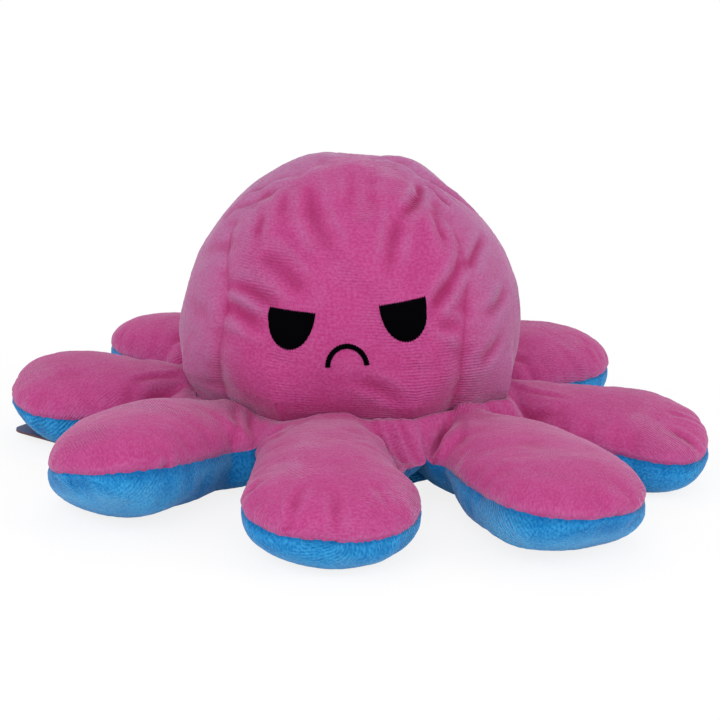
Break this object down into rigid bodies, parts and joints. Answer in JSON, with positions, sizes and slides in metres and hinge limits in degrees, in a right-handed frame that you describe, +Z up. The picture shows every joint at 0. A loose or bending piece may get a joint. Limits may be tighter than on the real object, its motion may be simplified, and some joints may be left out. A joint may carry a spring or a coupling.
{
  "type": "reversible octopus plush toy",
  "caption": "Stuffed octopus toy that turns inside out: pink plush head and arm tops, blue plush lining and undersides, embroidered cross face, and a small swing tag.",
  "frame": {"origin": "on the floor, at the middle of the rectangle that the toy covers seen from above; the head's axis stands 3.3 mm toward -X", "axes": "+Z up through the crown of the head, -Y the way the face looks, +X to the right of someone who looks at the face"},
  "size_m": [0.1878, 0.2215, 0.0822],
  "materials": {
    "pink_plush": "short-pile plush, matte with a pale sheen",
    "blue_plush": "short-pile plush, matte with a pale sheen",
    "black_thread": "satin stitch, half matte",
    "white_stuffing": "loose polyester fibre, matte",
    "navy_card": "coated card, half matte",
    "clear_nylon": "pale nylon"
  },
  "bodies": {
    "head": {"head_gore_front": "pink_plush", "head_gore_right": "pink_plush", "head_gore_back": "pink_plush", "head_gore_left": "pink_plush", "head_stuffing": "white_stuffing", "lining_gore_front": "blue_plush", "lining_gore_right": "blue_plush", "lining_gore_back": "blue_plush", "lining_gore_left": "blue_plush", "neck_band": "pink_plush", "underside_band": "blue_plush", "eye_left": "black_thread", "eye_right": "black_thread", "mouth": "black_thread", "lining_eye_left": "black_thread", "lining_eye_right": "black_thread", "lining_smile": "black_thread"},
    "arm_front": {"arm_front_top": "pink_plush", "arm_front_underside": "blue_plush", "arm_front_stuffing": "white_stuffing"},
    "arm_front_right": {"arm_front_right_top": "pink_plush", "arm_front_right_underside": "blue_plush", "arm_front_right_stuffing": "white_stuffing"},
    "arm_right": {"arm_right_top": "pink_plush", "arm_right_underside": "blue_plush", "arm_right_stuffing": "white_stuffing"},
    "arm_back_right": {"arm_back_right_top": "pink_plush", "arm_back_right_underside": "blue_plush", "arm_back_right_stuffing": "white_stuffing"},
    "arm_back": {"arm_back_top": "pink_plush", "arm_back_underside": "blue_plush", "arm_back_stuffing": "white_stuffing"},
    "arm_back_left": {"arm_back_left_top": "pink_plush", "arm_back_left_underside": "blue_plush", "arm_back_left_stuffing": "white_stuffing"},
    "arm_left": {"arm_left_top": "pink_plush", "arm_left_underside": "blue_plush", "arm_left_stuffing": "white_stuffing", "tag_fastener": "clear_nylon"},
    "arm_front_left": {"arm_front_left_top": "pink_plush", "arm_front_left_underside": "blue_plush", "arm_front_left_stuffing": "white_stuffing"},
    "tag_card": {"swing_tag": "navy_card"}
  },
  "joints": [
    {"name": "arm_front_root", "type": "hinge", "parent": "head", "child": "arm_front", "pos_m": [-0.0033, -0.052, 0.013], "axis": [-1, 0, 0], "range_deg": [-25, 45], "stiffness_Nm_per_rad": 0.05},
    {"name": "arm_front_right_root", "type": "hinge", "parent": "head", "child": "arm_front_right", "pos_m": [0.03347, -0.03677, 0.013], "axis": [-0.7071, -0.7071, 0], "range_deg": [-25, 45], "stiffness_Nm_per_rad": 0.05},
    {"name": "arm_right_root", "type": "hinge", "parent": "head", "child": "arm_right", "pos_m": [0.0487, 0, 0.013], "axis": [0, -1, 0], "range_deg": [-25, 45], "stiffness_Nm_per_rad": 0.05},
    {"name": "arm_back_right_root", "type": "hinge", "parent": "head", "child": "arm_back_right", "pos_m": [0.03347, 0.03677, 0.013], "axis": [0.7071, -0.7071, 0], "range_deg": [-25, 45], "stiffness_Nm_per_rad": 0.05},
    {"name": "arm_back_root", "type": "hinge", "parent": "head", "child": "arm_back", "pos_m": [-0.0033, 0.052, 0.013], "axis": [1, 0, 0], "range_deg": [-25, 45], "stiffness_Nm_per_rad": 0.05},
    {"name": "arm_back_left_root", "type": "hinge", "parent": "head", "child": "arm_back_left", "pos_m": [-0.04007, 0.03677, 0.013], "axis": [0.7071, 0.7071, 0], "range_deg": [-25, 45], "stiffness_Nm_per_rad": 0.05},
    {"name": "arm_left_root", "type": "hinge", "parent": "head", "child": "arm_left", "pos_m": [-0.0553, 0, 0.013], "axis": [0, 1, 0], "range_deg": [-25, 45], "stiffness_Nm_per_rad": 0.05},
    {"name": "arm_front_left_root", "type": "hinge", "parent": "head", "child": "arm_front_left", "pos_m": [-0.04007, -0.03677, 0.013], "axis": [-0.7071, 0.7071, 0], "range_deg": [-25, 45], "stiffness_Nm_per_rad": 0.05},
    {"name": "tag_swivel", "type": "hinge", "parent": "arm_left", "child": "tag_card", "pos_m": [-0.0869, -0.001, 0.0022], "axis": [0.0462, -0.0246, 0.9986], "range_deg": [-60, 60]}
  ]
}
